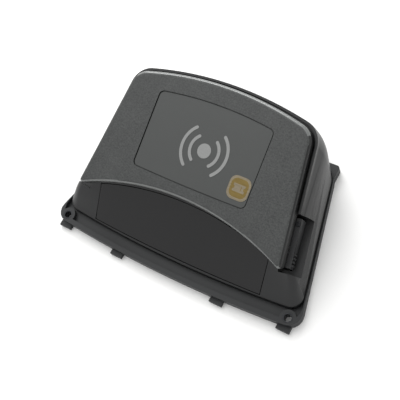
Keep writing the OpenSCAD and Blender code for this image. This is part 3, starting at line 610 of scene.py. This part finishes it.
def build_hollow():
    """What the housing's skin is emptied of: all but its walls, its ledge and the pockets' shells."""
    front = LIP_SET + FRONT_WALL
    hollow = skin("hollow", [foot_loop(WALL, FRONT_WALL, SEAT_Z - OVER),
                             in_face(cover_outline(GAP + SHOULDER - WALL, front), LEDGE_D - OVER)])
    ledge = skin("ledge", [in_face(cover_outline(WALL + SHOULDER + GAP, -OVER), d)
                           for d in (LEDGE_D + LEDGE_T, LEDGE_D - 2 * OVER)])
    cut_out(ledge, skin("ledge_gap", [in_face(cover_outline(-LEDGE_IN, front + LEDGE_FRONT), d)
                                      for d in (LEDGE_D + LEDGE_T + OVER, LEDGE_D - 3 * OVER)]))
    cut_out(hollow, ledge)
    for side in (1, -1):
        low = (-POCKET_DEPTH - POCKET_WALL, -POCKET_FRONT - POCKET_WALL, -POCKET_FLOOR)
        high = (POCKET_OUT, POCKET_BACK + POCKET_WALL, POCKET_TOP)
        cut_out(hollow, pocket_block("pocket_shell", low, high, side))
    return hollow


def build_housing():
    shoulder = cover_outline(GAP + SHOULDER, LIP_SET)
    low, high = foot_loop(0, 0, RIDGE_Z), in_face(shoulder, LEDGE_D)
    out = in_face(cover_outline(GAP + SHOULDER + SWELL, LIP_SET), LEDGE_D)
    swell = [a + SWELL_AT * (b - a) + c - b for a, b, c in zip(low, high, out)]
    loops = [foot_loop(0, 0, SEAT_Z), low, swell, high, in_face(shoulder, SHOULDER_DROP)]
    housing = skin("housing_moulded", rounded(loops, (RIDGE_R, SWELL_R, SHOULDER_R)))
    cut_out(housing, build_hollow())
    bed = cover_outline(GAP, -BED_REACH)
    cut_out(housing, skin("cover_bed", [in_face(bed, d) for d in (LEDGE_D, -OVER)]))
    for side in (1, -1):
        pocket_cuts(housing, side)
    cut_out(housing, wall_plate("window_opening", OPENING, -BEFORE_WALL, BEHIND_WALL))
    return cut_out(housing, wall_plate("window_rebate", REBATE, -BEFORE_WALL, REBATE_D))


housing = build_housing()
round_edges(housing, 0.35, 38)
finish_piece(housing, SATIN_ABS, "root", ("lower_housing",))

# %% [markdown]
# ## Window, flange, back plate and latches
# The window is one curved acrylic plate that follows the wall, drawn with sixty steps because its
# gloss would show every facet. The flange, the back plate, the sleeves and the latches have the
# right shape already, so a merged copy of each gets only the edge radius of its process: larger on
# mouldings, smaller on stamped and turned parts.

# %% Window plate and moulded copies
window = wall_plate("window_polished", PANE, 0, PANE_T)
round_edges(window, 0.3, 50, 3)
finish_piece(window, SMOKED, "root", ("scan_window",))
refined("mounting_flange", 0.35, FLANGE_ABS)
refined("back_plate", 0.12, GALVANISED)
refined("lug_sleeves", 0.15, DARK_STEEL, angle=50)
refined("target_label", 0.1, LABEL_FILM)
for side_name in ("right", "left"):
    refined("latch_" + side_name, 0.3, ACETAL, "latch_" + side_name)

# %% [markdown]
# ## Coil springs
# Each latch is pushed out by a small compression spring and the tamper plunger by a smaller one.
# A screw modifier could sweep a circle, but a Geometry Nodes spiral gives the coil by its real
# sizes: radius, length, turns and wire.

# %% A coil by Geometry Nodes
def group_with(name, inputs):
    tree = bpy.data.node_groups.new(name, "GeometryNodeTree")
    tree.interface.new_socket("Geometry", in_out="INPUT", socket_type="NodeSocketGeometry")
    for label, kind in inputs:
        tree.interface.new_socket(label, in_out="INPUT", socket_type=kind)
    tree.interface.new_socket("Geometry", in_out="OUTPUT", socket_type="NodeSocketGeometry")
    return tree, add(tree, "NodeGroupInput").outputs


def last_nodes(tree, geometry, material):
    """Realize Instances, Set Material and the group's output."""
    real = add(tree, "GeometryNodeRealizeInstances", {"Geometry": geometry})
    painted = add(tree, "GeometryNodeSetMaterial", {"Geometry": real.outputs[0], "Material": material})
    add(tree, "NodeGroupOutput", {"Geometry": painted.outputs[0]})


def grown(name, tree, values, points=((0, 0, 0),)):
    """A plain mesh object made by a tree, on vertices at the given points in millimetres."""
    mesh = bpy.data.meshes.new(name)
    mesh.from_pydata([tuple(x * MM for x in p) for p in points], [], [])
    made = bpy.data.objects.new(name, mesh)
    bpy.context.scene.collection.objects.link(made)
    modifier = made.modifiers.new(name, "NODES")
    modifier.node_group = tree
    for item in tree.interface.items_tree:
        if item.in_out == "INPUT" and item.name in values:
            modifier[item.identifier] = values[item.name]
    return bake(made)


def coil_tree():
    tree, given = group_with("coil_spring", [(label, "NodeSocketFloat") for label in
                                             ("Radius", "Length", "Turns", "Wire")])
    spiral = add(tree, "GeometryNodeCurveSpiral", {
        "Resolution": 20, "Rotations": given["Turns"], "Start Radius": given["Radius"],
        "End Radius": given["Radius"], "Height": given["Length"]})
    wire = add(tree, "GeometryNodeCurvePrimitiveCircle", {"Resolution": 8, "Radius": given["Wire"]})
    swept = add(tree, "GeometryNodeCurveToMesh", {
        "Curve": spiral.outputs[0], "Profile Curve": wire.outputs[0], "Fill Caps": True})
    smooth = add(tree, "GeometryNodeSetShadeSmooth", {"Geometry": swept.outputs[0]})
    last_nodes(tree, smooth.outputs[0], STEEL)
    return tree


COIL = coil_tree()
COIL_SEAT = 0.42  # how deep the latch coil's first turn lies in its seat
PLUNGER_Y, PLUNGER_COIL_Z, PLUNGER_TOP_Z = 4, 2.18, 4.2


def coil(name, radius, length, turns, wire):
    """A coil that stands on z = 0, from sizes in millimetres."""
    return grown(name, COIL, {"Radius": radius * MM, "Length": length * MM, "Turns": turns,
                              "Wire": wire * MM})


for side, side_name in ((1, "right"), (-1, "left")):
    spring = coil("coil_" + side_name, 1.52, 3.14, 4.5, 0.17)
    lay = (pocket_frame @ Matrix.Translation((-POCKET_DEPTH - COIL_SEAT, SPRING_Y, SPRING_Z))
           @ Matrix.Rotation(math.radians(90), 4, "Y"))
    to_metres = Matrix.Diagonal((side * MM, MM, MM, 1)) @ lay @ Matrix.Diagonal((1 / MM, 1 / MM, 1 / MM, 1))
    spring.data.transform(to_metres)
    outward(spring)
    finish_piece(spring, STEEL, "root", ("latch_spring_" + side_name,))
    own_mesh(spring)
plunger_spring = coil("coil_plunger", 0.82, 1.94, 4.0, 0.075)
plunger_spring.data.transform(Matrix.Translation((0, PLUNGER_Y * MM, PLUNGER_COIL_Z * MM)))
outward(plunger_spring)
finish_piece(plunger_spring, STEEL, "root", ("tamper_spring",))
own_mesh(plunger_spring)

# %% [markdown]
# ## Screws
# Four cover screws show on the back, and smaller ones hold the boards. They repeat, so one tree
# makes a screw from its sizes, cuts the hex socket and puts a copy on every vertex of a mesh that
# only holds the places. Turned by a half turn, the same tree serves the screws that face up.

# %% Socket screws by Geometry Nodes
SCREW_SIZES = ("Head Radius", "Head Height", "Shank Radius", "Shank Length")
HEAD_TAPER, HEX_WIDTH, HEX_DEPTH = 0.88, 0.45, 1.2  # shares of the head's own sizes


def screw_tree():
    """A screw on every given point: its head hangs below the point and its shank goes up from it."""
    tree, given = group_with("socket_screw", [(label, "NodeSocketFloat") for label in SCREW_SIZES]
                             + [("Turn", "NodeSocketVector")])

    def scaled(value, factor):
        return add(tree, "ShaderNodeMath", {0: value, 1: factor}, operation="MULTIPLY").outputs[0]

    def raised(mesh, height):
        lift = add(tree, "ShaderNodeCombineXYZ", {"Z": height})
        moved = add(tree, "GeometryNodeTransform", {"Geometry": mesh, "Translation": lift.outputs[0]})
        return moved.outputs[0]

    head = add(tree, "GeometryNodeMeshCone", {"Vertices": 32, "Radius Top": given["Head Radius"],
                                              "Radius Bottom": scaled(given["Head Radius"], HEAD_TAPER),
                                              "Depth": given["Head Height"]})
    socket = add(tree, "GeometryNodeMeshCylinder", {"Vertices": 6,
                                                    "Radius": scaled(given["Head Radius"], HEX_WIDTH),
                                                    "Depth": scaled(given["Head Height"], HEX_DEPTH)})
    lowered = [raised(part.outputs["Mesh"], scaled(given["Head Height"], -1)) for part in (head, socket)]
    cut = add(tree, "GeometryNodeMeshBoolean", {"Mesh 1": lowered[0], "Mesh 2": lowered[1]},
              operation="DIFFERENCE", solver="EXACT")
    shank = add(tree, "GeometryNodeMeshCylinder", {"Vertices": 20, "Radius": given["Shank Radius"],
                                                   "Depth": given["Shank Length"]})
    joined = add(tree, "GeometryNodeJoinGeometry")
    tree.links.new(cut.outputs[0], joined.inputs[0])
    tree.links.new(raised(shank.outputs["Mesh"], scaled(given["Shank Length"], 0.5)), joined.inputs[0])
    turned = add(tree, "FunctionNodeEulerToRotation", {"Euler": given["Turn"]})
    placed = add(tree, "GeometryNodeInstanceOnPoints", {
        "Points": given["Geometry"], "Instance": joined.outputs[0], "Rotation": turned.outputs[0]})
    last_nodes(tree, placed.outputs[0], STEEL)
    return tree


SCREW = screw_tree()
AS_DRAWN, HALF_TURN = (0.0, 0.0, 0.0), (math.pi, 0.0, 0.0)
COVER_SCREWS = [(x * s, y, 0.8) for x, y in ((36.5, -4.1), (38.15, 25.5)) for s in (1, -1)]
BOARD_SCREWS = [(x, y, 8.0) for x in (28.0, -28.0) for y in (0.0, 30.0)]
BRACKET_SCREWS = [(16.0, -10.5, 4.4), (-16.0, -10.5, 4.4)]
screw_sets = [
    ("cover_screws", COVER_SCREWS, (2.4, 0.72, 1.1, 7.9), AS_DRAWN),
    ("board_screws", BOARD_SCREWS, (2.0, 1.2, 1.1, 4.5), HALF_TURN),
    ("bracket_screws", BRACKET_SCREWS, (1.9, 1.1, 1.1, 2.2), HALF_TURN)]
for name, places, sizes, turn in screw_sets:
    values = {label: size * MM for label, size in zip(SCREW_SIZES, sizes)}
    made = grown(name + "_turned", SCREW, {**values, "Turn": turn}, places)
    round_edges(made, 0.1, 50)
    finish_piece(made, STEEL, "root", (name,))

# %% [markdown]
# ## Studio and camera
# A plain pale floor and soft light: a bright sky all round, one large soft box high on the left
# and a flatter one lower behind it. Dark plastic shows mostly what it reflects, so the sky's
# brightness sets its grey. The thin highlights on the lip and back rim come from the soft boxes
# together with the highlight painted into the rim's lighter colour.

# %% Floor, light and camera
scene = bpy.context.scene
scene.view_settings.view_transform = "Standard"
SKY_STRENGTH, FLOOR_HALF, FLOOR_Z, AIM = 0.85, 3, -0.0004, Vector((0, 0, 0.02))


def floor():
    mesh = bpy.data.meshes.new("studio_floor")
    corners = [(x * FLOOR_HALF, y * FLOOR_HALF, FLOOR_Z) for x, y in ((-1, -1), (1, -1), (1, 1), (-1, 1))]
    mesh.from_pydata(corners, [], [(0, 1, 2, 3)])
    made = bpy.data.objects.new("studio_floor", mesh)
    scene.collection.objects.link(made)
    paper, tree, shader = new_material("studio_paper", Roughness=0.9, Specular_IOR_Level=0.1)
    cloud = grain(tree, place_mm(tree), 60.0)
    tree.links.new(mix_colour(tree, cloud, "#f6f6f5", "#f9f9f8"), shader.inputs["Base Color"])
    mesh.materials.append(paper)


def soft_box(name, width, height, power, place):
    """An area light in metres and watts that looks at the middle of the unit."""
    light = bpy.data.lights.new(name, "AREA")
    light.shape, light.size, light.size_y, light.energy = "RECTANGLE", width, height, power
    made = bpy.data.objects.new(name, light)
    made.location = place
    made.rotation_euler = (Vector(place) - AIM).to_track_quat("Z", "Y").to_euler()
    scene.collection.objects.link(made)


world = bpy.data.worlds.new("studio_sky")
scene.world = world
world.use_nodes = True
sky = world.node_tree.nodes["Background"]
sky.inputs["Color"].default_value = (1, 1, 1, 1)
sky.inputs["Strength"].default_value = SKY_STRENGTH
floor()
soft_box("high_left", 0.8, 0.8, 4.0, (-0.5, 0.3, 0.9))
soft_box("rim_box", 0.6, 0.3, 4.0, (-0.36, 0.56, 0.46))

# The frame's turns and its place in the camera's own axes, in millimetres. The camera was found
# for an origin 1 mm behind the frame's, which the last term puts right.
TURN, FROM_CAMERA = (-15.69, -25.726, -22.84), (5.4473, 1.2128, -385.015)
turns = [Matrix.Rotation(math.radians(angle), 3, axis) for angle, axis in zip(TURN, "XYZ")]
standing = (turns[2] @ turns[1] @ turns[0]).transposed()
lens = bpy.data.cameras.new("camera")
lens.sensor_width, lens.lens, lens.clip_start = 36.0, 71.9, 0.01
camera = bpy.data.objects.new("camera", lens)
camera.rotation_mode = "QUATERNION"
camera.rotation_quaternion = standing.to_quaternion()
camera.location = -(standing @ Vector(FROM_CAMERA)) * MM + Vector((0, MM, 0))
scene.collection.objects.link(camera)
scene.camera = camera
print("camera at", [round(x, 4) for x in camera.location])
